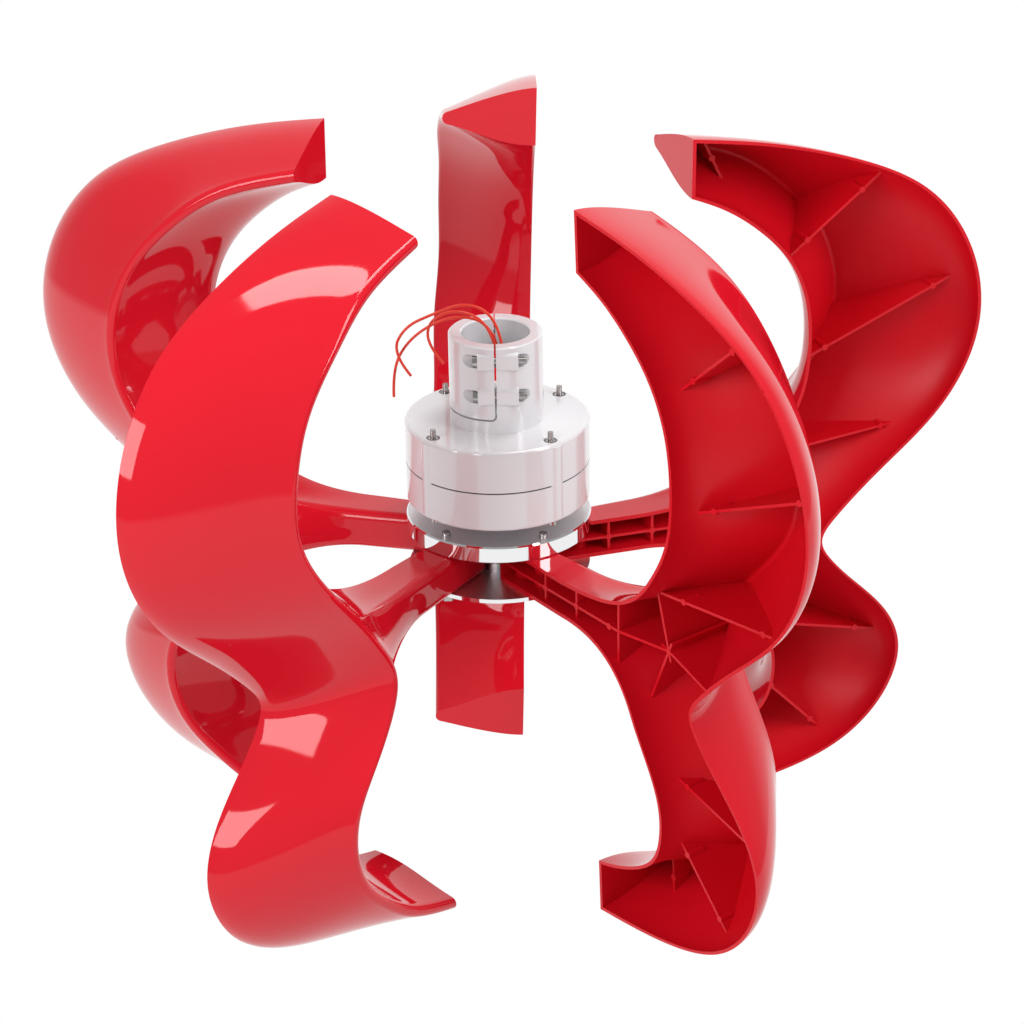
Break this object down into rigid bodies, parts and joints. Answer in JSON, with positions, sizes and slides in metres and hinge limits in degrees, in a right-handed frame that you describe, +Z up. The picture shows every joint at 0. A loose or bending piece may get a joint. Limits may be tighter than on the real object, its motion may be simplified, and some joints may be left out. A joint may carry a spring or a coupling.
{
  "type": "small vertical-axis wind turbine",
  "caption": "Vertical-axis wind turbine: a generator with a pipe clamp turns a hub of hollow two-lobed blades round an upright axis.",
  "frame": {"origin": "on the turbine's axis at the bottom of the mast socket, in the plane of the generator's rear face", "axes": "+Z up along the turbine's axis, out of the mast socket; -Y towards the front of the clamp's split; the clamp's loose half is on -X"},
  "size_m": [0.6973, 0.6808, 0.5464],
  "materials": {
    "white_paint": "glossy white powder coat over cast aluminium",
    "red_plastic": "glossy moulded plastic, matte on the ribbed side",
    "polished_aluminium": "mirror polished",
    "fastener_steel": "bright zinc plate",
    "shaft_steel": "ground",
    "bearing_steel": "ground and polished",
    "cage_plastic": "natural polyamide",
    "black_rubber": "matte",
    "lamination_steel": "varnished sheet edges",
    "copper_enamel": "enamelled copper wire",
    "magnet_nickel": "nickel plate",
    "lead_silicone": "smooth red-orange silicone sleeve"
  },
  "bodies": {
    "generator": {"rear_cover": "white_paint", "front_housing": "white_paint", "housing_gasket": "black_rubber", "housing_bolts": "fastener_steel", "housing_nuts": "fastener_steel", "cable_grommet": "black_rubber", "stator_core": "lamination_steel", "stator_coils": "copper_enamel", "shaft_seal": "black_rubber", "rear_bearing_outer": "bearing_steel", "front_bearing_outer": "bearing_steel", "wire_1": "lead_silicone", "wire_2": "lead_silicone", "wire_3": "lead_silicone"},
    "clamp": {"clamp_half": "white_paint", "clamp_screws": "fastener_steel"},
    "rotor": {"shaft": "shaft_steel", "rotor_key": "shaft_steel", "rotor_core": "lamination_steel", "rotor_magnets": "magnet_nickel", "rear_bearing_inner": "bearing_steel", "front_bearing_inner": "bearing_steel", "hub_flange": "polished_aluminium", "hub_spacer": "shaft_steel", "hub_lower_disc": "polished_aluminium", "arm_bolts": "fastener_steel", "arm_washers": "fastener_steel", "shaft_washer": "fastener_steel", "shaft_nut": "fastener_steel", "blade_1": "red_plastic", "blade_2": "red_plastic", "blade_3": "red_plastic", "blade_4": "red_plastic", "blade_5": "red_plastic"},
    "rear_ball_set": {"rear_bearing_balls": "bearing_steel", "rear_bearing_cage": "cage_plastic"},
    "front_ball_set": {"front_bearing_balls": "bearing_steel", "front_bearing_cage": "cage_plastic"}
  },
  "joints": [
    {"name": "rotor_spin", "type": "hinge", "parent": "generator", "child": "rotor", "pos_m": [0, 0, -0.03], "axis": [0, 0, 1], "continuous": true},
    {"name": "rear_ball_set_spin", "type": "hinge", "parent": "generator", "child": "rear_ball_set", "pos_m": [0, 0, -0.0135], "axis": [0, 0, 1], "continuous": true},
    {"name": "front_ball_set_spin", "type": "hinge", "parent": "generator", "child": "front_ball_set", "pos_m": [0, 0, -0.0515], "axis": [0, 0, 1], "continuous": true},
    {"name": "clamp_open", "type": "slide", "parent": "generator", "child": "clamp", "axis": [-1, 0, 0], "range_m": [0, 0.003]}
  ],
  "couplings": [
    {"joint": "rear_ball_set_spin", "follows": "rotor_spin", "ratio": 0.38096},
    {"joint": "front_ball_set_spin", "follows": "rotor_spin", "ratio": 0.38096}
  ]
}
